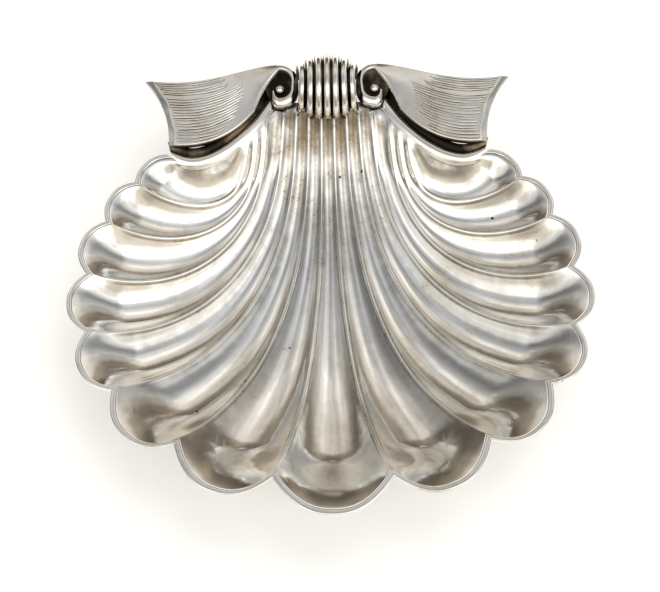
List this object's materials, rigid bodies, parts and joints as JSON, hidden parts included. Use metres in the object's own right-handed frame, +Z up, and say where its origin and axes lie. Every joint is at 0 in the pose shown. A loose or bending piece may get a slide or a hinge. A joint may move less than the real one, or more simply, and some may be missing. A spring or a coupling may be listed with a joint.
{
  "type": "shell dish",
  "caption": "Polished silver scallop-shell dish with fluted bowl, wired scalloped rim, engraved scrolled ears, rib-bound knob and ball feet.",
  "frame": {"origin": "on the table below the middle of the dish", "axes": "+X to the right ear seen from the front, +Y from the front lobe towards the hinge and its knob, +Z up"},
  "size_m": [0.2364, 0.2234, 0.0614],
  "materials": {
    "polished_silver": "polished sterling silver, softly worn, with fine scratches and small dark pits",
    "engraved_silver": "polished sterling silver with engraved lines that hold dark tarnish",
    "tarnished_silver": "silver left with brown-grey tarnish in the recesses"
  },
  "bodies": {
    "root": {"shell_bowl": "polished_silver", "rim_wire": "polished_silver", "ear_right": "engraved_silver", "ear_left": "engraved_silver", "scroll_bead_right": "polished_silver", "scroll_bead_left": "polished_silver", "umbo_core": "tarnished_silver", "binding_rib_1": "polished_silver", "binding_rib_2": "polished_silver", "binding_rib_3": "polished_silver", "binding_rib_4": "polished_silver", "binding_rib_5": "polished_silver", "binding_rib_6": "polished_silver", "binding_rib_7": "polished_silver", "foot_front_right": "polished_silver", "foot_front_left": "polished_silver", "foot_back": "polished_silver"}
  },
  "joints": []
}
